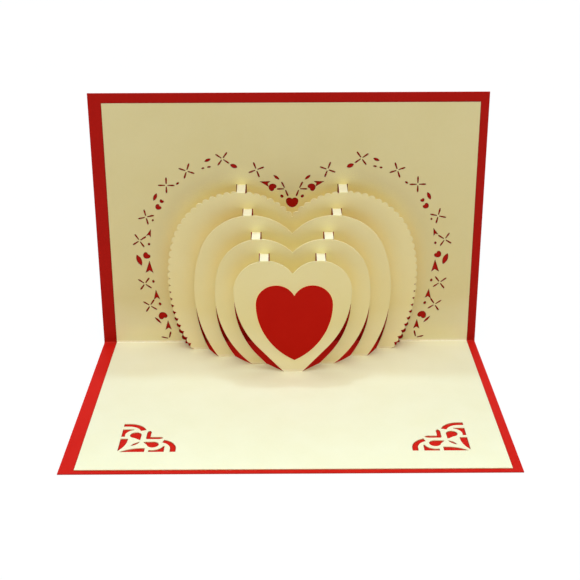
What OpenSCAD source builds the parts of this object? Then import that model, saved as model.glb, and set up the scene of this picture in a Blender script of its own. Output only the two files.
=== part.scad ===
// Pop-up greeting card. A red card folded once is the cover. A cream sheet is glued inside it,
// cut and creased so that four nested hearts stand up from it when the card is open.
// A red paper heart is glued to the front of the foremost one.
// X runs along the main fold, Y from the front edge to the back panel, and Z up.
// The origin is under the middle of the base panel.

/* [Card] */
// Width of the card along its fold
card_w = 150; // [140:1:180]
// Depth of the base panel, and height of the back panel
panel_h = 102; // [92:1:130]
// Thickness of the red cover
cover_t = 0.35; // [0.2:0.05:0.6]

/* [Cream sheet] */
// Thickness of the cream sheet
sheet_t = 0.25; // [0.15:0.05:0.4]
// Mean width of the red borders left and right of the sheet
side_border = 4.2; // [2:0.1:8]
// Width of the red border above the sheet
top_border = 3.8; // [2:0.1:8]
// Width of the red border in front of the sheet
front_border = 2; // [1:0.1:8]
// How far to the right of the cover's middle the sheet is glued
sheet_shift = 0.9; // [-2:0.1:2]
// How far to the right of the sheet's middle its cuts lie
cut_shift = 0.3; // [-1:0.1:1]
// Inner radius of the main fold
fold_r = 0.5; // [0.2:0.1:1]
// Inner radius of the creases at the feet and tabs of the hearts
crease_r = 0.15; // [0.1:0.05:0.3]

/* [Hearts] */
// Distance from one standing layer to the next
layer_step = 6.9; // [5.5:0.1:8.5]
// Height of the front heart's lobes
front_top = 45; // [42:0.1:48]
// Radius of the front heart's lobes
front_lobe_r = 12.1; // [11.5:0.1:13.5]
// Half width of the crease at the front heart's foot
front_foot = 3.5; // [2:0.1:5]
// Direction from its lobe's centre in which the front heart's lobe passes into the flank
front_flank = 0; // [-10:1:10]
// Length of the straight part of the front heart's flank, above the crease
front_straight = 14; // [0:1:18]
// How much higher each other heart is than the one in front of it, the rear one first
top_growth = [6.8, 7, 6.1]; // [5.5:0.1:8]
// How much larger the radius of its lobes is
lobe_growth = [6.2, 4, 4.4]; // [3.5:0.1:7]
// How much wider half its foot is
foot_growth = [10.2, 13.3, 12.3]; // [9:0.1:14]
// Direction in which its lobe passes into the flank
flank = [15, 19, 15]; // [10:1:22]
// Distance of a lobe's centre from the middle, for each millimetre of its radius, the rear heart's first
lobe_spread = [0.76, 0.765, 0.74, 0.82]; // [0.72:0.005:0.84]
// Width of the cut round each heart, the rear heart's first
cut_w = [0.1, 0.25, 0.25, 0.15]; // [0.05:0.05:0.5]
// Distance between the scallops on the rear heart's edge
scallop_pitch = 2.95; // [2:0.05:5]
// Depth of the scallops
scallop_depth = 0.7; // [0.3:0.05:1]

/* [Tabs that hold the hearts] */
// Width of a tab
tab_w = 3.2; // [2:0.1:5]
// Width of the slit beside a tab
slit_w = 0.4; // [0.2:0.05:0.8]
// How much further from the middle the tabs are than the lobes' centres, the rear heart's first
tab_out = [-0.9, 1.2, 1.4, 0.6]; // [-2:0.1:2]
// How much lower a tab's front crease lies than its rear one, the rear heart's first
tab_drop = [1.1, 0.3, 0.3, 0.3]; // [0:0.1:1.5]

/* [Garland cut in the back panel] */
// Height of its line above the opening's lobes
garland_rise = 17.3; // [14:0.1:22]
// How much larger than the rear heart's the radius of its lobes is
garland_grow = 4.8; // [3.5:0.1:6.5]
// Distance of its lobes' centres from the middle, for each millimetre of their radius
garland_spread = 0.843; // [0.81:0.003:0.87]
// How much wider its line is than the rear heart at the feet
garland_foot = 9.5; // [8:0.5:14]
// Distance of the inner row of cuts from the line
garland_inset = 2.8; // [2:0.1:3.5]
// Length of a blossom's petal
petal_l = 2.7; // [2:0.1:3.2]
// Width of a blossom's petal
petal_w = 0.75; // [0.5:0.05:1]

/* [Corner fans cut in the base panel] */
// Reach of a fan along each edge
fan_size = 19.4; // [14:0.1:24]
// Distance of a fan from the edges of the sheet
fan_inset = 12; // [5:0.5:18]
// How much nearer a fan lies to the front edge than to the side edge
fan_lead = 0.7; // [0:0.1:4]

/* [Glued red heart] */
// Thickness of its paper
red_t = 0.2; // [0.1:0.05:0.4]
// Height of its lobes' tops above its tip
red_top = 30.4; // [24:0.1:34]
// Radius of its lobes
red_lobe_r = 7.6; // [6.5:0.1:9]
// Distance of its lobes' centres from its middle, for each millimetre of their radius
red_spread = 0.895; // [0.8:0.005:0.95]
// Height of its tip above the front heart's crease
red_lift = 5; // [3:0.1:9]
// How far to the right of the front heart's middle it is glued
red_shift = 0.6; // [-2:0.1:2]

/* [Hidden] */
$fn = 48;
// Length of the chords that round outlines are drawn with
chord = 1.2;
// Flats in each bend of a sheet
bend_flats = 6;

hearts = len(tab_out);
sheet_w = card_w - 2 * side_border;
cut_x = sheet_shift + cut_shift;
// Height of the base panel's cream sheet and place of the back panel's, both at mid thickness
base_z = cover_t + sheet_t / 2;
back_y = panel_h / 2 - cover_t - sheet_t / 2;
sheet_front = front_border - panel_h / 2;
sheet_top = panel_h - top_border;
// Bends at mid thickness: the cover's is wrapped round the sheet's
fold_mid = fold_r + sheet_t / 2;
cover_mid = fold_r + sheet_t + cover_t / 2;
crease_mid = crease_r + sheet_t / 2;
// Length of flat sheet that a creased strip keeps past its bends
lap = 2 * crease_mid;
// Distance to which the cuts pass through the bends
cut_reach = fold_mid + crease_mid + 2 * sheet_t;

// Scallops are arcs that are cut off halfway between their centres.
scallop_r = (pow(scallop_depth, 2) + pow(scallop_pitch / 2, 2)) / (2 * scallop_depth);

// Garland: places along its line from the cleft, distances outside it and turns from it.
// The places are for a line of this length, and keep their shares of any other.
garland_drawn = 127;
// A blossom has its petals' turns, a leaf its length and width, a spear its length,
// and a small heart its width.
all_petals = [45, 135, 225, 315];
blossoms = [
    [4.5, 0, 0, [-50, 15, 200]],
    [18, -0.5, 0, all_petals],
    [31.5, 1, -10, all_petals],
    [46, -0.5, 0, all_petals],
    [56, -0.5, 0, all_petals],
    [71.5, 0, 15, all_petals],
    [81.5, 1, 5, all_petals],
    [99.5, 0, 0, all_petals],
    [109, 0.5, 5, all_petals],
    [125, 0, 0, [135, 225]]
];
leaves = [
    [10, 1, 0, 3, 1.1],
    [37, 1, -15, 2.7, 1.2],
    [62.5, 0, -10, 3.4, 1.4],
    [89.5, 1, -20, 5, 2],
    [116, 0, -20, 4, 1]
];
// Inner row, with distances outside its own line
buds = [
    [3, 0, 0, 1.5, 1.2],
    [27, 1.3, 15, 3, 1.7],
    [37, 1.1, 0, 1.6, 0.8],
    [39.5, 1.1, 0, 1.3, 0.8],
    [52, 0, 0, 1.5, 0.9],
    [72, 0, 0, 1, 0.8],
    [82.5, 0, 0, 1.2, 1],
    [99, -0.7, 0, 1.4, 1],
    [109.5, -0.7, 0, 1.5, 1.1]
];
spears = [
    [12, -0.5, -20, 4.2],
    [78, 0.3, 190, 3.4],
    [93, 0, 185, 5.4],
    [105.5, -0.5, 190, 4.4],
    [120, 0.2, 205, 4.4]
];
heartlets = [
    [8.5, -0.2, 0, 3.2],
    [62.5, -0.2, 0, 1.7],
    [65.5, -0.2, 20, 2.5],
    [87.5, 0.8, 40, 3],
    [115, 0.2, 180, 3.6]
];
// Width of the small heart in the garland's cleft, and how far it hangs below it
cleft_heart_w = 4.8;
cleft_heart_drop = 3.9;

// A heart is [lobe's centre from the middle, top, lobe's radius, half width of its foot, flank angle,
// length of the flank's straight part].
// Heart 1 is the rear one. Each is grown from the front one.
function grown(front, growth, i) = i == hearts ? front : growth[i - 1] + grown(front, growth, i + 1);
function lobe_r(i) = grown(front_lobe_r, lobe_growth, i);
function lobe_top(i) = grown(front_top, top_growth, i);
function foot_half(i) = grown(front_foot, foot_growth, i);
function lobe_x(i) = lobe_spread[i - 1] * lobe_r(i);
function tab_x(i) = lobe_x(i) + tab_out[i - 1];
function flank_of(i) = i == hearts ? [front_flank, front_straight] : [flank[i - 1], 0];
function heart_of(i) = concat([lobe_x(i), lobe_top(i), lobe_r(i), foot_half(i)], flank_of(i));
red = [red_spread * red_lobe_r, red_top, red_lobe_r, 0, 0, 0];
garland_r = lobe_r(1) + garland_grow;
garland_line = [
    garland_spread * garland_r,
    lobe_top(1) - layer_step + garland_rise,
    garland_r,
    foot_half(1) + garland_foot,
    flank[0],
    0
];

function unit(a) = [cos(a), sin(a)];
function lobe_centre(h) = [h[0], h[1] - h[2]];
function flank_start(h) = lobe_centre(h) + h[2] * unit(h[4]);
// Way down the right half of a rim, where it faces a direction
function down_rim(a) = [sin(a), -cos(a)];
// The flank is an arc that leaves the lobe smoothly, and the straight part below it.
// Distance from either end of the arc to the point where its tangents cross
function flank_reach(h) =
    let (span = [h[3], 0] - flank_start(h))
    (span * span - h[5] * h[5]) / (2 * (span * down_rim(h[4]) + h[5]));
function foot_angle(h) =
    let (end = [h[3], 0] - flank_start(h) - flank_reach(h) * down_rim(h[4]))
    atan2(end[1], end[0]) + 90;
function flank_r(h) = flank_reach(h) / tan((h[4] - foot_angle(h)) / 2);
function flank_centre(h) = flank_start(h) - flank_r(h) * unit(h[4]);
function cleft_angle(h) = acos(-h[0] / h[2]);
function lobe_length(h) = h[2] * (cleft_angle(h) - h[4]) * PI / 180;
function round_length(h) = lobe_length(h) + flank_r(h) * (h[4] - foot_angle(h)) * PI / 180;
function rim_length(h) = round_length(h) + h[5];
// Outline a distance outside that of a heart
function outside(h, d) =
    let (a = foot_angle(h), c = flank_centre(h), r = flank_r(h) + d)
    h[5] > 0
    ? [h[0], h[1] + d, h[2] + d, h[3] + d / cos(a), h[4], h[5] + d * tan(a)]
    : [h[0], h[1] + d, h[2] + d, c[0] + sqrt(r * r - c[1] * c[1]), h[4], 0];
// Outward direction on the right half of a heart's rim, at a distance along it from the cleft
function rim_angle(h, along) =
    along < lobe_length(h)
    ? cleft_angle(h) - along / h[2] * 180 / PI
    : max(foot_angle(h), h[4] - (along - lobe_length(h)) / flank_r(h) * 180 / PI);
// Point there, a distance outside the rim
function rim_point(h, along, out = 0) =
    along < lobe_length(h)
    ? lobe_centre(h) + (h[2] + out) * unit(rim_angle(h, along))
    : flank_centre(h) + (flank_r(h) + out) * unit(rim_angle(h, along))
        + max(0, along - round_length(h)) * down_rim(foot_angle(h));
// A right half's points followed by their mirror images, with those on the middle line once
function both_sides(half) =
    concat(half, [for (k = [len(half) - 1 : -1 : 0]) if (half[k][0] > 0.001) [-half[k][0], half[k][1]]]);

function heading(a, b) = (b - a) / norm(b - a);
function left_of(d) = [-d[1], d[0]];
function turned(d, a) = [d[0] * cos(a) - d[1] * sin(a), d[0] * sin(a) + d[1] * cos(a)];
// One face of a bent sheet: the path at mid thickness, with round bends, moved to its left
function bent_face(path, mid_r, left) = concat(
    [path[0] + left * left_of(heading(path[0], path[1]))],
    [for (k = [1 : len(path) - 2])
        let (d = heading(path[k - 1], path[k]),
            e = heading(path[k], path[k + 1]),
            turn = atan2(d[0] * e[1] - d[1] * e[0], d * e),
            hand = sign(turn),
            centre = path[k] - mid_r * tan(abs(turn) / 2) * d + hand * mid_r * left_of(d))
        for (j = [0 : bend_flats])
            centre - hand * (mid_r - hand * left) * left_of(turned(d, turn * j / bend_flats))],
    [path[len(path) - 1] + left * left_of(heading(path[len(path) - 2], path[len(path) - 1]))]);

// Strip of sheet bent along a path of [y, z] points, from x0 to x1
module bent_strip(path, thick, mid_r, x0, x1) {
    one = bent_face(path, mid_r, thick / 2);
    other = bent_face(path, mid_r, -thick / 2);
    translate([x0, 0, 0])
        rotate([90, 0, 90])
            linear_extrude(x1 - x0)
                polygon(concat(one, [for (k = [len(other) - 1 : -1 : 0]) other[k]]));
}

// Upright plate of the cream sheet's middle at one layer, from a drawing in x and z
module at_layer(i, thick) {
    translate([cut_x, back_y - i * layer_step, base_z])
        rotate([90, 0, 0])
            linear_extrude(thick, center = true)
                children();
}

module heart(h, step = chord) {
    flats = ceil(rim_length(h) / step);
    polygon(both_sides([for (k = [0 : flats]) rim_point(h, rim_length(h) * k / flats)]));
}

// Heart with scallops along its rim, which go on past its foot, or the outline a distance outside it
module scalloped_heart(h, out) {
    count = round(rim_length(h) / scallop_pitch);
    pitch = rim_length(h) / count;
    centres = [for (k = [0 : count + 1]) rim_point(h, (k + 0.5) * pitch, scallop_depth / 2 - scallop_r)];
    polygon(both_sides(centres));
    for (side = [-1, 1], c = centres)
        translate([side * c[0], c[1]])
            circle(scallop_r + out);
}

module above(z) {
    translate([-card_w, z])
        square([2 * card_w, 2 * panel_h]);
}

// Heart i as it stands on its crease, or the outline a distance outside it
module heart_shape(i, out = 0) {
    if (i == 1)
        intersection() {
            scalloped_heart(heart_of(i), out);
            above(0);
        }
    else
        heart(outside(heart_of(i), out));
}

module at_tabs(i) {
    for (side = [-1, 1])
        translate([side * tab_x(i), lobe_top(i)])
            children();
}

// Opening that heart i and its tabs leave in the layer behind them
module opening(i) {
    slot_w = tab_w + 2 * slit_w;
    slot_top = tab_drop[i - 1] + crease_mid;
    translate([0, -layer_step])
        heart_shape(i, cut_w[i - 1]);
    at_tabs(i)
        translate([-slot_w / 2, -layer_step - slot_w / 2])
            square([slot_w, slot_top + layer_step + slot_w / 2]);
}

// Creased strip at the foot of heart i, where the base panel turns up
module foot_crease(i) {
    y = back_y - i * layer_step;
    path = [[y - lap, base_z], [y, base_z], [y, base_z + lap]];
    bent_strip(path, sheet_t, crease_mid, cut_x - foot_half(i), cut_x + foot_half(i));
}

// Tabs from the layer behind to the lobes of heart i
module tabs(i) {
    front = back_y - i * layer_step;
    rear = front + layer_step;
    z = base_z + lobe_top(i);
    drop = tab_drop[i - 1];
    path = [[rear, z + drop + lap], [rear, z + drop], [front, z], [front, z - lap]];
    for (side = [-1, 1]) {
        x = cut_x + side * tab_x(i);
        bent_strip(path, sheet_t, crease_mid, x - tab_w / 2, x + tab_w / 2);
    }
}

module standing_heart(i) {
    difference() {
        union() {
            at_layer(i, sheet_t)
                difference() {
                    intersection() {
                        heart_shape(i);
                        above(crease_mid);
                    }
                    at_tabs(i)
                        translate([-tab_w / 2, -crease_mid])
                            square([tab_w, crease_mid + scallop_depth]);
                }
            foot_crease(i);
        }
        if (i < hearts)
            at_layer(i, 2 * cut_reach)
                opening(i + 1);
    }
    tabs(i);
}

// Pointed leaf, the overlap of two discs
module leaf(length, width) {
    r = (pow(length, 2) + pow(width, 2)) / (4 * width);
    intersection() {
        translate([0, r - width / 2])
            circle(r);
        translate([0, width / 2 - r])
            circle(r);
    }
}

// Blunt petal that widens away from the blossom's middle
module petal() {
    root = petal_l / 6;
    half = petal_w / 2;
    upper = [[root, 0.6 * half], [root + 0.7 * petal_l, half], [root + petal_l, 0.6 * half]];
    polygon(concat(upper, [for (k = [2 : -1 : 0]) [upper[k][0], -upper[k][1]]]));
}

module blossom(petals) {
    for (turn = petals)
        rotate(turn)
            petal();
}

// Arrow head that points along the line
module spear(length) {
    half = length * 0.3;
    polygon([[length * 0.6, 0], [-length * 0.4, half], [-length * 0.2, 0], [-length * 0.4, -half]]);
}

// Small heart with its tip at the origin
module heartlet(width) {
    r = width * 0.28;
    heart([width / 2 - r, width * 0.85, r, 0, 0, 0], width / 12);
}

// Place of a cut [along, out, turn, ...] on the garland's line
module on_garland(cut, row = 0) {
    along = cut[0] * rim_length(garland_line) / garland_drawn;
    translate(rim_point(garland_line, along, row + cut[1]))
        rotate(rim_angle(garland_line, along) - 90 + cut[2])
            children();
}

module garland_half() {
    for (cut = blossoms)
        on_garland(cut)
            blossom(cut[3]);
    for (cut = leaves)
        on_garland(cut)
            leaf(cut[3], cut[4]);
    for (cut = buds)
        on_garland(cut, -garland_inset)
            leaf(cut[3], cut[4]);
    for (cut = spears)
        on_garland(cut, -garland_inset)
            spear(cut[3]);
    for (cut = heartlets)
        on_garland(cut, -garland_inset)
            rotate(90)
                translate([0, -cut[3] / 2])
                    heartlet(cut[3]);
}

module garland() {
    garland_half();
    mirror([1, 0])
        garland_half();
    translate([0, rim_point(garland_line, 0)[1] - cleft_heart_drop])
        heartlet(cleft_heart_w);
}

// Cuts of a corner fan on one side of its diagonal, drawn from the corner for a reach of 19.4
fan_drawn = 19.4;
module fan_half() {
    rim_r = 6.5;
    rim_x = 2;
    rim_w = 2;
    lobe = [4.9, 11.4];
    lobe_round = 2;
    web = 1.7;
    // Strip round the rim
    translate([0, fan_drawn - rim_w])
        square([rim_x, rim_w]);
    translate([rim_x, fan_drawn - rim_r])
        intersection() {
            difference() {
                circle(rim_r);
                circle(rim_r - rim_w);
            }
            polygon([[0, 0], 2 * rim_r * unit(18), 2 * rim_r * unit(55), [0, 2 * rim_r]]);
        }
    // Block beside the heart's lobe
    difference() {
        translate([0, 10.3])
            square([3.9, 5.2]);
        translate(lobe)
            circle(lobe_round + web);
    }
    // Lobe of the heart
    translate(lobe)
        circle(lobe_round);
    polygon([
        lobe + lobe_round * unit(205),
        lobe + [1.5, -3.3],
        lobe + [1.9, -3.3],
        lobe + lobe_round * unit(8)
    ]);
    // Block beside the heart's tip
    intersection() {
        translate([0, 0.6])
            square([2.7, 8.4]);
        translate([-9.3, 8])
            circle(11.9);
    }
    // Arm of the bracket outside the heart's cleft
    translate([8.6, 8.9])
        square([1.5, 4.3]);
    translate([9.4, 13.1])
        rotate(90)
            leaf(2.8, 1.5);
}

module fan() {
    scale(fan_size / fan_drawn) {
        fan_half();
        mirror([1, -1])
            fan_half();
        // Leaf on the diagonal, inside the heart
        translate([5.4, 5.4])
            rotate(45)
                leaf(4, 1.1);
    }
}

// Both fans, in x and y from the main fold
module fans() {
    for (side = [0, 1])
        mirror([side, 0])
            translate([fan_inset - sheet_w / 2, sheet_front + fan_inset - fan_lead - back_y])
                fan();
}

// Openings of the hearts in the base panel, cut back for the bends at their feet
module base_openings() {
    for (i = [1 : hearts])
        translate([0, -i * layer_step]) {
            heart_shape(i, cut_w[i - 1]);
            translate([-foot_half(i), -crease_mid])
                square([2 * foot_half(i), 2 * crease_mid]);
        }
}

module cover() {
    mid = cover_t / 2;
    path = [[-panel_h / 2, mid], [panel_h / 2 - mid, mid], [panel_h / 2 - mid, panel_h]];
    color([0.82, 0.13, 0.1])
        bent_strip(path, cover_t, cover_mid, -card_w / 2, card_w / 2);
}

module insert() {
    path = [[sheet_front, base_z], [back_y, base_z], [back_y, sheet_top]];
    color([0.96, 0.93, 0.8]) {
        difference() {
            bent_strip(path, sheet_t, fold_mid, sheet_shift - sheet_w / 2, sheet_shift + sheet_w / 2);
            at_layer(0, 2 * cut_reach) {
                opening(1);
                garland();
            }
            translate([cut_x, back_y, base_z])
                linear_extrude(2 * sheet_t, center = true) {
                    base_openings();
                    fans();
                }
        }
        for (i = [1 : hearts])
            standing_heart(i);
    }
}

module red_heart() {
    color([0.82, 0.13, 0.1])
        translate([cut_x + red_shift, back_y - hearts * layer_step - sheet_t / 2, base_z + red_lift])
            rotate([90, 0, 0])
                linear_extrude(red_t)
                    heart(red);
}

cover();
insert();
red_heart();
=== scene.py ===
# Looks of an open pop-up greeting card: red folded cover, cream cut sheet and a glued red paper heart.
import math
import bmesh
import bpy
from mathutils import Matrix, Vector


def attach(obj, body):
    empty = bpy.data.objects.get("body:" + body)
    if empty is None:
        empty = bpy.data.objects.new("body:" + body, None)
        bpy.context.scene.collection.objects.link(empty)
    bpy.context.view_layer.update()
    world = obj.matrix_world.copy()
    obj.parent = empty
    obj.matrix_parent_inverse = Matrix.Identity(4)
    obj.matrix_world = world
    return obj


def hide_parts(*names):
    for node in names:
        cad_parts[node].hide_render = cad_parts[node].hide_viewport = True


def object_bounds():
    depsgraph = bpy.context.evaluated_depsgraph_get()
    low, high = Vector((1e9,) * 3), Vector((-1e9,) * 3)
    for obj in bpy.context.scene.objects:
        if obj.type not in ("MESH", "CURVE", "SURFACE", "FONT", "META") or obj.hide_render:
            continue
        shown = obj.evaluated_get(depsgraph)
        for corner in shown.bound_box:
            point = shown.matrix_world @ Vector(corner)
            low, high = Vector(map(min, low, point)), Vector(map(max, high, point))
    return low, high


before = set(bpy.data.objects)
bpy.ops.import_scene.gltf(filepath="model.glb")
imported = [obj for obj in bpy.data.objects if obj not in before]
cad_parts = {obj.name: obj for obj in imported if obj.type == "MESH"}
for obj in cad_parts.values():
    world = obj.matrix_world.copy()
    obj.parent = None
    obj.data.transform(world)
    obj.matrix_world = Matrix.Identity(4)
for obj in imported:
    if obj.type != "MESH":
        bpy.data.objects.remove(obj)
cad_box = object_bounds()

MM = 0.001

# The card's box, from the frame, and the thickness of the cover and of the cream sheet
CARD_FRONT_Y = cad_box[0][1]
CARD_BACK_Y = cad_box[1][1]
CARD_TOP_Z = cad_box[1][2]
COVER_T = 0.35 * MM
SHEET_T = 0.25 * MM
# Middle of the cream sheet's thickness on the back panel and on the base panel, and its top there
SHEET_MID_Y = CARD_BACK_Y - COVER_T - SHEET_T / 2
SHEET_MID_Z = COVER_T + SHEET_T / 2
SHEET_TOP_Z = COVER_T + SHEET_T
# Standing hearts: how many, the step from one to the next, and the middle of all cuts
HEARTS = 4
LAYER_STEP = 6.9 * MM
CUT_X = 1.2 * MM
# Rear heart: the two arcs of one half of its smooth rim, the turn at which they meet, and its tabs
REAR_LOBE = Vector((20.29, 38.2)) * MM
REAR_LOBE_R = 26.7 * MM
REAR_FLANK = Vector((-9.06, 30.33)) * MM
REAR_FLANK_R = 57.09 * MM
REAR_FLANK_TURN = 15
REAR_TAB_X = 19.4 * MM
REAR_TAB_REACH = 2.2 * MM
# Scallops: how much deeper they are cut, the band round the rim in which they lie, and where they end below
SCALLOP_GAIN = 1.8
SCALLOP_BAND = 0.7 * MM
SCALLOP_FOOT = 0.5 * MM
MERGE = 0.001 * MM

# Bands in which a face counts as a part of a panel, a heart's plate, a crease or an edge
BASE_BAND = 0.3 * MM
BASE_TOUCH = 0.01 * MM
COVER_TOUCH = 0.02 * MM
PLATE_BAND = 0.2 * MM
BACK_BAND = 0.4 * LAYER_STEP
CREASE_HALF = 0.5 * MM
CREASE_FOOT = 0.03 * MM
CREASE_HEIGHT = 0.9 * MM
# How far a face may point along or across a sheet to count as its edge, as a tab or as a side
EDGE_ON = 0.4
UPRIGHT = 0.3
LEVEL = 0.8
SIDE_ON = 0.7
# How far up the upright sheets their painted light near the base panel reaches, how far out over the base
# panel its painted light by the back panel reaches, and the curve of the base panel's painted light towards
# its front
LOW_REACH = 20 * MM
FOLD_REACH = 26 * MM
FORWARD_CURVE = 2.2
# Heights of the rear heart's lobes, distances from the middle at the flanks, and the rubbed band of the spine
HIGH_FROM, HIGH_TO = 40 * MM, 62 * MM
FLANK_FROM, FLANK_TO = 11 * MM, 21 * MM
SPINE_FROM, SPINE_TO = 2.64 * MM, 0.44 * MM
# Nooks: how far neighbours count, and the openness at which a nook begins and is deepest
BETWEEN_SHEETS = (9 * MM, 0.97, 0.80)
BEHIND_HEARTS = (8 * MM, 0.80, 0.40)
IN_CUT = (0.9 * MM, 0.93, 0.60)
NOOK_SAMPLES = 8

# Paper: share of the clouds in its drift of colour, where the drift begins and ends, its tooth, and the
# strength of the creases' paler wear and painted highlight
CLOUD_SHARE = 0.6
DRIFT_FROM, DRIFT_TO = 0.35, 0.65
TOOTH_FINER = 1.7
TOOTH_SHARE = 0.5
TOOTH_DEPTH = 0.05 * MM
CREASE_WEAR_AND_HIGHLIGHT = 1.7

# Painted light and shade of the cream sheet, as shares of the paper's own colour: one paper made lighter or
# darker by place
# Upright hearts in the open: painted shade, warmer and darker than the base panel's front
HEART_TONE = (0.87, 0.85, 0.75)
# Hearts low down: painted light near the base panel
HEART_LOW_TONE = (0.97, 1.01, 1.22)
# Hearts in the nooks between sheets: painted warm light, weaker and more orange at the outer flanks
NOOK_TONE = (1.05, 1.08, 0.90)
FLANK_NOOK_TONE = (0.985, 0.935, 0.70)
# Tabs: painted shade that holds back their lit tops
TAB_TONE = (0.83, 0.81, 0.87)
# Back panel: painted shade on the upright panel, painted warm light by the rear heart's rim and above its
# lobes, and painted light low down
BACK_TONE = (0.768, 0.745, 0.638)
BACK_NOOK_TONE = (0.90, 0.82, 0.56)
BACK_HIGH_NOOK_TONE = (1.04, 1.06, 0.84)
BACK_LOW_TONE = (0.91, 0.98, 1.14)
# Base panel: painted light near the fold and the upright sheets, and a painted light that grows towards its
# front edge
FOLD_TONE = (0.86, 0.865, 0.925)
BASE_TONE = (0.78, 0.757, 0.78)
FRONT_TONE = (0.91, 0.915, 0.94)
# Creases at the hearts' feet: paler worn paper and a painted highlight along the bend
CREASE_TONE = (1.03, 1.08, 1.45)
# Cut edges: a painted highlight where they catch the light
EDGE_TONE = (0.95, 0.97, 1.10)
# Painted light and shade of the red cover, as shares of the card's own colour, and the pale wear of its
# rubbed edges and spine
PLAIN_TONE = (1.0, 1.0, 1.0)
# Back panel darker and base panel lighter: painted shade and painted light on one card
RED_BACK_TONE = (0.755, 0.77, 0.66)
RED_BASE_TONE = (1.02, 1.02, 0.85)
# Painted shade in the narrow cuts and behind the hearts
RED_CUT_TONE = (0.35, 0.7, 0.4)
RED_NOOK_TONE = (0.86, 0.95, 0.86)
RUBBED_TONE = (1.12, 2.5, 2.5)

# Lamps: height, turn from the camera's side and spread in degrees, strength and colour
LAMPS = {
    "top_light": (86, 0, 50, 3.5, (0.69, 0.83, 1.0)),
    "front_light": (42, 0, 50, 1.0, (1.0, 0.60, 0.08)),
    "rear_light": (72.6, 180, 4, 0.66, (0.42, 0.65, 1.0)),
}
WHITE = (1.0, 1.0, 1.0)
FILL_LEVEL = 0.02
FLOOR_COLOUR = (0.95, 0.95, 0.95)
FLOOR_GLOW = 0.9
FLOOR_HALF = 3
FLOOR_DROP = 0.1 * MM

# Camera at the photograph's place, in millimetres and degrees
CAMERA_AT = (-0.697, -362.391, 187.730)
CAMERA_TURN = (68.2525, 0.205, -0.214)
CAMERA_LENS = 69.37
CAMERA_SENSOR = 36


def feed(tree, socket, value):
    """Links an output to a socket, or sets the socket to a number or a colour."""
    if isinstance(value, bpy.types.NodeSocket):
        tree.links.new(value, socket)
    elif isinstance(value, tuple):
        socket.default_value = (*value, 1)
    else:
        socket.default_value = value


def node(tree, kind, where, **values):
    """Adds a node, sets its properties, feeds its inputs, and returns it."""
    made = tree.nodes.new(kind)
    made.location = where
    for name, value in values.items():
        if name in made.bl_rna.properties:
            setattr(made, name, value)
        else:
            feed(tree, made.inputs[name.replace("_", " ")], value)
    return made


def maths(tree, operation, where, *values, clamp=False):
    """Math node of sockets or numbers; returns its output."""
    made = node(tree, "ShaderNodeMath", where, operation=operation, use_clamp=clamp)
    for socket, value in zip(made.inputs, values):
        feed(tree, socket, value)
    return made.outputs[0]


def ramp(tree, where, value, zero_at, one_at):
    """Mask that rises from 0 to 1 between two values."""
    slope = 1 / (one_at - zero_at)
    return maths(tree, "MULTIPLY_ADD", where, value, slope, -zero_at * slope, clamp=True)


def all_of(tree, where, *masks):
    """Mask of the places at which all the given masks hold."""
    both = masks[0]
    for count, mask in enumerate(masks[1:]):
        both = maths(tree, "MULTIPLY", (where[0] + 150 * count, where[1]), both, mask)
    return both


def blend(tree, where, share, a, b, kind="MIX"):
    """Colour mix of sockets or colours; returns its output."""
    made = node(tree, "ShaderNodeMix", where, data_type="RGBA", blend_type=kind)
    for socket, value in ((made.inputs["Factor"], share), (made.inputs[6], a), (made.inputs[7], b)):
        feed(tree, socket, value)
    return made.outputs[2]


def parts_of(tree, kind, output, where):
    """x, y and z of a node's vector output."""
    source = node(tree, kind, where).outputs[output]
    return node(tree, "ShaderNodeSeparateXYZ", (where[0] + 200, where[1]), Vector=source).outputs


def nook(tree, where, distance, open_at, closed_at):
    """How far a place lies between other surfaces, 0 in the open and 1 deep inside."""
    around = node(tree, "ShaderNodeAmbientOcclusion", where, samples=NOOK_SAMPLES, Distance=distance)
    return ramp(tree, (where[0] + 200, where[1]), around.outputs["AO"], open_at, closed_at)


def open_group(name, **inputs):
    """New shader node group with numbers as inputs; returns its tree and its input node."""
    tree = bpy.data.node_groups.new(name, "ShaderNodeTree")
    for label, default in inputs.items():
        spaced = label.replace("_", " ")
        socket = tree.interface.new_socket(spaced, in_out="INPUT", socket_type="NodeSocketFloat")
        socket.default_value = default
    return tree, node(tree, "NodeGroupInput", (-900, 0))


def close_group(tree, **outputs):
    """Gives a shader node group its outputs and returns it."""
    for label in outputs:
        tree.interface.new_socket(label, in_out="OUTPUT", socket_type="NodeSocketFloat")
    node(tree, "NodeGroupOutput", (900, 0), **outputs)
    return tree


def make_paper_grain():
    """Fibre, mottling and tooth of a sheet of paper."""
    tree, entry = open_group("paper_grain", Fibre_scale=900.0, Cloud_scale=60.0)
    place = node(tree, "ShaderNodeTexCoord", (-1100, -300)).outputs["Object"]
    fibre_scale = entry.outputs["Fibre scale"]
    fibre = node(tree, "ShaderNodeTexNoise", (-500, 200), Vector=place, Scale=fibre_scale,
                 Detail=6.0, Roughness=0.65, Distortion=0.8)
    cloud = node(tree, "ShaderNodeTexNoise", (-500, -100), Vector=place, Scale=entry.outputs["Cloud scale"],
                 Detail=3.0, Roughness=0.5)
    tooth_scale = maths(tree, "MULTIPLY", (-700, -400), fibre_scale, TOOTH_FINER)
    tooth = node(tree, "ShaderNodeTexVoronoi", (-500, -400), feature="SMOOTH_F1", Vector=place,
                 Scale=tooth_scale, Smoothness=0.6)
    bumps = maths(tree, "MULTIPLY", (-200, -300), tooth.outputs["Distance"], TOOTH_SHARE)
    height = maths(tree, "ADD", (0, -200), fibre.outputs["Fac"], bumps)
    return close_group(tree, Fibre=fibre.outputs["Fac"], Cloud=cloud.outputs["Fac"], Height=height)


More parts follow.
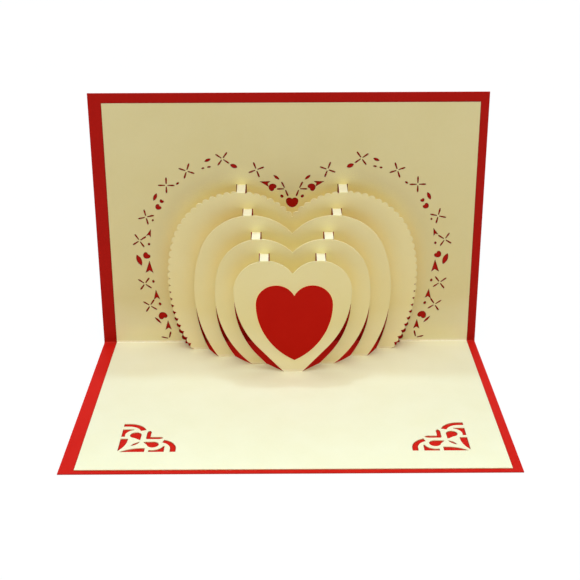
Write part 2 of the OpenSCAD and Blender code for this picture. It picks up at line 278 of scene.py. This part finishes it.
def make_sheet_places():
    """Masks of the cream sheet's panels and their parts, and of its tabs, cut edges and creases."""
    tree, _ = open_group("sheet_places")
    x, y, z = parts_of(tree, "ShaderNodeTexCoord", "Object", (-900, 200))
    _, ny, nz = parts_of(tree, "ShaderNodeNewGeometry", "True Normal", (-900, -200))
    across = maths(tree, "ABSOLUTE", (-300, -300), ny)
    upwards = maths(tree, "ABSOLUTE", (-300, -450), nz)
    forward = maths(tree, "SUBTRACT", (-300, 0), SHEET_MID_Y, y)
    from_middle = maths(tree, "ABSOLUTE", (-100, 750), maths(tree, "SUBTRACT", (-300, 750), x, CUT_X))
    # Panels
    base = maths(tree, "LESS_THAN", (-300, 300), z, SHEET_TOP_Z + BASE_BAND)
    above_base = maths(tree, "SUBTRACT", (-100, 300), 1.0, base)
    far = maths(tree, "LESS_THAN", (-100, 150), forward, BACK_BAND)
    back = all_of(tree, (100, 200), far, above_base)
    # Parts of the panels and hearts
    along = maths(tree, "DIVIDE", (-100, 0), forward, SHEET_MID_Y - CARD_FRONT_Y, clamp=True)
    along = maths(tree, "POWER", (100, 0), along, FORWARD_CURVE)
    fold = ramp(tree, (100, -50), forward, FOLD_REACH, 0)
    low = ramp(tree, (100, 450), z, LOW_REACH, 0)
    high = ramp(tree, (100, 900), z, HIGH_FROM, HIGH_TO)
    outer = ramp(tree, (100, 750), from_middle, FLANK_FROM, FLANK_TO)
    # Hearts' plates, by the distance from the nearest one in steps
    step = maths(tree, "DIVIDE", (-100, -150), forward, LAYER_STEP)
    nearest = maths(tree, "ROUND", (100, -150), step)
    off = maths(tree, "ABSOLUTE", (400, -150), maths(tree, "SUBTRACT", (250, -150), step, nearest))
    on_plate = maths(tree, "LESS_THAN", (550, -150), off, PLATE_BAND / LAYER_STEP)
    # Cut edges
    edge_on = maths(tree, "LESS_THAN", (-100, -300), across, EDGE_ON)
    plate_edge = all_of(tree, (300, -300), on_plate, edge_on, above_base)
    upright = maths(tree, "LESS_THAN", (-100, -450), upwards, UPRIGHT)
    in_base = maths(tree, "LESS_THAN", (-100, -600), z, SHEET_TOP_Z + BASE_TOUCH)
    base_edge = all_of(tree, (300, -450), upright, in_base)
    edge = maths(tree, "MAXIMUM", (600, -350), plate_edge, base_edge)
    # Tabs
    level = maths(tree, "GREATER_THAN", (450, 600), upwards, LEVEL)
    off_plate = maths(tree, "SUBTRACT", (600, 450), 1.0, on_plate)
    tab = all_of(tree, (600, 600), level, above_base, off_plate)
    # Creases at the feet of the hearts
    by_plate = maths(tree, "LESS_THAN", (300, -800), off, CREASE_HALF / LAYER_STEP)
    in_hearts = maths(tree, "LESS_THAN", (300, -950), step, HEARTS + 0.5)
    over_base = maths(tree, "GREATER_THAN", (300, -1100), z, SHEET_TOP_Z + CREASE_FOOT)
    near_base = maths(tree, "LESS_THAN", (300, -650), z, SHEET_TOP_Z + CREASE_HEIGHT)
    crease = all_of(tree, (450, -700), near_base, by_plate, in_hearts, over_base)
    return close_group(tree, Back=back, Base=base, Forward=along, Fold=fold, Low=low, High=high, Outer=outer,
                       Tab=tab, Edge=edge, Crease=crease)


def make_cover_places():
    """Masks of the red cover's base panel, cut edges and spine."""
    tree, _ = open_group("cover_places")
    _, y, z = parts_of(tree, "ShaderNodeTexCoord", "Object", (-900, 200))
    nx, _, _ = parts_of(tree, "ShaderNodeNewGeometry", "True Normal", (-900, -200))
    base = maths(tree, "LESS_THAN", (-300, 300), z, 2 * COVER_T)
    side = maths(tree, "GREATER_THAN", (-100, 100), maths(tree, "ABSOLUTE", (-300, 100), nx), SIDE_ON)
    front = maths(tree, "LESS_THAN", (-100, -50), y, CARD_FRONT_Y + COVER_TOUCH)
    top = maths(tree, "GREATER_THAN", (-100, -200), z, CARD_TOP_Z - COVER_TOUCH)
    edge = maths(tree, "MAXIMUM", (250, 0), side, maths(tree, "MAXIMUM", (100, -100), front, top))
    from_back = maths(tree, "SUBTRACT", (-300, -400), CARD_BACK_Y, y)
    from_spine = maths(tree, "ADD", (-100, -400), from_back, z)
    spine = ramp(tree, (100, -400), from_spine, SPINE_FROM, SPINE_TO)
    return close_group(tree, Base=base, Edge=edge, Spine=spine)


paper_grain = make_paper_grain()
sheet_places = make_sheet_places()
cover_places = make_cover_places()


def sheet_tone(tree, grain):
    """Painted light and shade of the cream sheet's panels, nooks, tabs and cut edges, and its creases, paler
    with wear and with a painted highlight.
    """
    at = node(tree, "ShaderNodeGroup", (-900, 700), node_tree=sheet_places).outputs
    between = nook(tree, (-1100, 1000), *BETWEEN_SHEETS)
    # Hearts: painted warm light in the nooks between sheets, more orange at the outer flanks, and painted
    # light low down
    nooks = blend(tree, (-900, 1000), at["Outer"], NOOK_TONE, FLANK_NOOK_TONE)
    hearts = blend(tree, (-700, 900), between, HEART_TONE, nooks)
    hearts = blend(tree, (-500, 900), at["Low"], hearts, HEART_LOW_TONE)
    # Base panel: painted light towards its front and near the fold and the upright sheets
    base = blend(tree, (-700, 650), at["Forward"], BASE_TONE, FRONT_TONE)
    by_upright = maths(tree, "MAXIMUM", (-700, 550), between, at["Fold"])
    base = blend(tree, (-500, 650), by_upright, base, FOLD_TONE)
    # Back panel: painted warm light in its nooks and above the rear heart's lobes, and painted light low down
    back_nooks = blend(tree, (-900, 400), at["High"], BACK_NOOK_TONE, BACK_HIGH_NOOK_TONE)
    back = blend(tree, (-700, 400), between, BACK_TONE, back_nooks)
    back = blend(tree, (-500, 400), at["Low"], back, BACK_LOW_TONE)
    tone = blend(tree, (-300, 800), at["Base"], hearts, base)
    tone = blend(tree, (-100, 800), at["Back"], tone, back)
    # Tabs: painted shade
    tone = blend(tree, (0, 950), at["Tab"], tone, TAB_TONE)
    # Creases: paler worn paper and a painted highlight where the bent sheet catches the light
    worn_and_lit = maths(tree, "MULTIPLY", (-300, 550), at["Crease"], grain["Fibre"])
    worn_and_lit = maths(tree, "MULTIPLY", (-100, 550), worn_and_lit, CREASE_WEAR_AND_HIGHLIGHT, clamp=True)
    tone = blend(tree, (100, 800), worn_and_lit, tone, CREASE_TONE)
    # Cut edges: painted highlight
    return blend(tree, (300, 800), at["Edge"], tone, EDGE_TONE)


def cover_tone(tree, grain):
    """Painted light and shade of the red cover's panels, painted shade in what shows through the cuts and
    behind the hearts, and the pale wear of its rubbed edges and spine.
    """
    at = node(tree, "ShaderNodeGroup", (-900, 700), node_tree=cover_places).outputs
    # Back panel darker and base panel lighter: painted shade and painted light
    tone = blend(tree, (-500, 700), at["Base"], RED_BACK_TONE, RED_BASE_TONE)
    # Painted shade in the narrow cuts and behind the hearts
    in_cut = nook(tree, (-1100, 1000), *IN_CUT)
    behind_hearts = nook(tree, (-1100, 1250), *BEHIND_HEARTS)
    shade = blend(tree, (-500, 950), in_cut, PLAIN_TONE, RED_CUT_TONE)
    tone = blend(tree, (-300, 800), 1.0, tone, shade, "MULTIPLY")
    shade = blend(tree, (-300, 1050), behind_hearts, PLAIN_TONE, RED_NOOK_TONE)
    tone = blend(tree, (-150, 900), 1.0, tone, shade, "MULTIPLY")
    rubbed = maths(tree, "MAXIMUM", (-500, 500), at["Edge"], at["Spine"])
    rubbed = maths(tree, "MULTIPLY", (-300, 500), rubbed, grain["Fibre"])
    return blend(tree, (-100, 750), rubbed, tone, RUBBED_TONE)


def paper_material(name, deep, pale, rough, fibre_scale, cloud_scale, tooth, gloss, tone_of=None):
    """Paper whose colour drifts between two close shades with its fibres and clouds."""
    material = bpy.data.materials.new(name)
    material.use_nodes = True
    tree = material.node_tree
    shader = tree.nodes["Principled BSDF"]
    grain = node(tree, "ShaderNodeGroup", (-1300, 0), node_tree=paper_grain,
                 Fibre_scale=fibre_scale, Cloud_scale=cloud_scale).outputs
    from_cloud = maths(tree, "MULTIPLY", (-650, 200), grain["Cloud"], CLOUD_SHARE)
    from_fibre = maths(tree, "MULTIPLY", (-650, 50), grain["Fibre"], 1 - CLOUD_SHARE)
    drift = maths(tree, "ADD", (-450, 150), from_cloud, from_fibre)
    shades = node(tree, "ShaderNodeValToRGB", (-250, 150), Fac=drift)
    for stop, place, shade in zip(shades.color_ramp.elements, (DRIFT_FROM, DRIFT_TO), (deep, pale)):
        stop.position = place
        stop.color = (*shade, 1)
    colour = shades.outputs["Color"]
    # Painted light and shade by place, from tone_of, multiply the paper's colour
    if tone_of:
        colour = blend(tree, (500, 500), 1.0, colour, tone_of(tree, grain), "MULTIPLY")
    smoothest, roughest = rough
    roughness = maths(tree, "MULTIPLY_ADD", (-250, -100), grain["Fibre"], roughest - smoothest, smoothest)
    bump = node(tree, "ShaderNodeBump", (-250, -300), Strength=tooth, Distance=TOOTH_DEPTH,
                Height=grain["Height"])
    feed(tree, shader.inputs["Base Color"], colour)
    feed(tree, shader.inputs["Roughness"], roughness)
    feed(tree, shader.inputs["Normal"], bump.outputs["Normal"])
    feed(tree, shader.inputs["Specular IOR Level"], gloss)
    return material


cream = paper_material("cream_paper", deep=(0.935, 0.872, 0.540), pale=(0.960, 0.902, 0.585),
                       rough=(0.50, 0.62), fibre_scale=1400, cloud_scale=70, tooth=0.25, gloss=0.15,
                       tone_of=sheet_tone)
cover_red = paper_material("cover_card", deep=(0.530, 0.008, 0.004), pale=(0.570, 0.010, 0.006),
                           rough=(0.48, 0.60), fibre_scale=1100, cloud_scale=60, tooth=0.30, gloss=0.06,
                           tone_of=cover_tone)
heart_red = paper_material("red_paper", deep=(0.475, 0.005, 0.001), pale=(0.500, 0.007, 0.002),
                           rough=(0.52, 0.62), fibre_scale=1300, cloud_scale=90, tooth=0.25, gloss=0.06)


def deepen_scallops(sheet):
    """Copy of the cream sheet on which the scallops of the rear heart and of its opening are cut deeper."""
    cut = bmesh.new()
    cut.from_mesh(sheet.data)
    bmesh.ops.remove_doubles(cut, verts=cut.verts, dist=MERGE)
    for vert in cut.verts:
        forward = SHEET_MID_Y - vert.co.y
        # The opening in the back panel is the rear heart's outline, lower by one step
        if abs(forward - LAYER_STEP) < PLATE_BAND:
            lift = 0.0
        elif abs(forward) < PLATE_BAND:
            lift = LAYER_STEP
        else:
            continue
        side = 1 if vert.co.x > CUT_X else -1
        place = Vector((abs(vert.co.x - CUT_X), vert.co.z - SHEET_MID_Z + lift))
        if abs(place.x - REAR_TAB_X) < REAR_TAB_REACH or vert.co.z < SHEET_TOP_Z + SCALLOP_FOOT:
            continue
        turn = place - REAR_LOBE
        on_lobe = math.degrees(math.atan2(turn.y, turn.x)) > REAR_FLANK_TURN
        middle, radius = (REAR_LOBE, REAR_LOBE_R) if on_lobe else (REAR_FLANK, REAR_FLANK_R)
        out = (place - middle).length - radius
        if abs(out) < SCALLOP_BAND:
            place += (place - middle).normalized() * out * (SCALLOP_GAIN - 1)
            vert.co.x = CUT_X + side * place.x
            vert.co.z = place.y + SHEET_MID_Z - lift
    mesh = bpy.data.meshes.new("cream_sheet")
    cut.to_mesh(mesh)
    cut.free()
    piece = bpy.data.objects.new("cream_sheet", mesh)
    bpy.context.scene.collection.objects.link(piece)
    mesh.materials.append(cream)
    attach(piece, "root")
    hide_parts("insert")


deepen_scallops(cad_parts["insert"])

for name, material in (("cover", cover_red), ("insert", cream), ("red_heart", heart_red)):
    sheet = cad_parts[name]
    sheet.data.materials.clear()
    sheet.data.materials.append(material)


def white_when_seen(tree, plain, white, glow, output):
    """Shows a plain shader to the light, and a white one to what looks at it directly or in a reflection."""
    path = node(tree, "ShaderNodeLightPath", (-900, 300)).outputs
    seen = maths(tree, "MAXIMUM", (-700, 300), path["Is Camera Ray"], path["Is Glossy Ray"])
    seen = maths(tree, "MAXIMUM", (-500, 300), seen, path["Is Transmission Ray"])
    seen = maths(tree, "MULTIPLY", (-300, 300), seen, glow)
    either = node(tree, "ShaderNodeMixShader", (0, 200))
    for socket, value in zip(either.inputs, (seen, plain.outputs[0], white.outputs[0])):
        feed(tree, socket, value)
    feed(tree, tree.nodes[output].inputs[0], either.outputs[0])


def make_floor():
    """Pale floor that is white to the camera and keeps a soft shadow."""
    mesh = bpy.data.meshes.new("floor")
    flat = bmesh.new()
    bmesh.ops.create_grid(flat, x_segments=1, y_segments=1, size=FLOOR_HALF)
    flat.to_mesh(mesh)
    flat.free()
    floor = bpy.data.objects.new("floor", mesh)
    bpy.context.scene.collection.objects.link(floor)
    floor.location.z = -FLOOR_DROP
    material = bpy.data.materials.new("floor_white")
    material.use_nodes = True
    tree = material.node_tree
    tree.nodes.remove(tree.nodes["Principled BSDF"])
    matt = node(tree, "ShaderNodeBsdfDiffuse", (-300, 100), Color=FLOOR_COLOUR)
    white = node(tree, "ShaderNodeEmission", (-300, -100), Color=WHITE, Strength=1.0)
    white_when_seen(tree, matt, white, FLOOR_GLOW, "Material Output")
    mesh.materials.append(material)


def make_world():
    """White backdrop to the camera, and a soft fill to everything else."""
    world = bpy.data.worlds.new("studio")
    bpy.context.scene.world = world
    world.use_nodes = True
    tree = world.node_tree
    fill = tree.nodes["Background"]
    feed(tree, fill.inputs["Color"], WHITE)
    feed(tree, fill.inputs["Strength"], FILL_LEVEL)
    white = node(tree, "ShaderNodeBackground", (-300, -200), Color=WHITE, Strength=1.0)
    white_when_seen(tree, fill, white, 1.0, "World Output")


def make_lamp(name, elevation, azimuth, spread, strength, colour):
    """Broad sun lamp; azimuth 0 shines along +Y, from the side of the camera."""
    data = bpy.data.lights.new(name, "SUN")
    data.energy = strength
    data.angle = math.radians(spread)
    data.color = colour
    lamp = bpy.data.objects.new(name, data)
    lamp.location = (0, 0, 1)
    lamp.rotation_euler = (math.radians(90 - elevation), 0, math.radians(-azimuth))
    bpy.context.scene.collection.objects.link(lamp)


def make_camera():
    """Camera at the photograph's place."""
    eye = bpy.data.cameras.new("camera")
    eye.sensor_width = CAMERA_SENSOR
    eye.lens = CAMERA_LENS
    camera = bpy.data.objects.new("camera", eye)
    camera.location = [distance * MM for distance in CAMERA_AT]
    camera.rotation_euler = [math.radians(angle) for angle in CAMERA_TURN]
    bpy.context.scene.collection.objects.link(camera)
    bpy.context.scene.camera = camera


make_floor()
make_world()
for name, values in LAMPS.items():
    make_lamp(name, *values)
make_camera()
bpy.context.scene.view_settings.view_transform = "Standard"
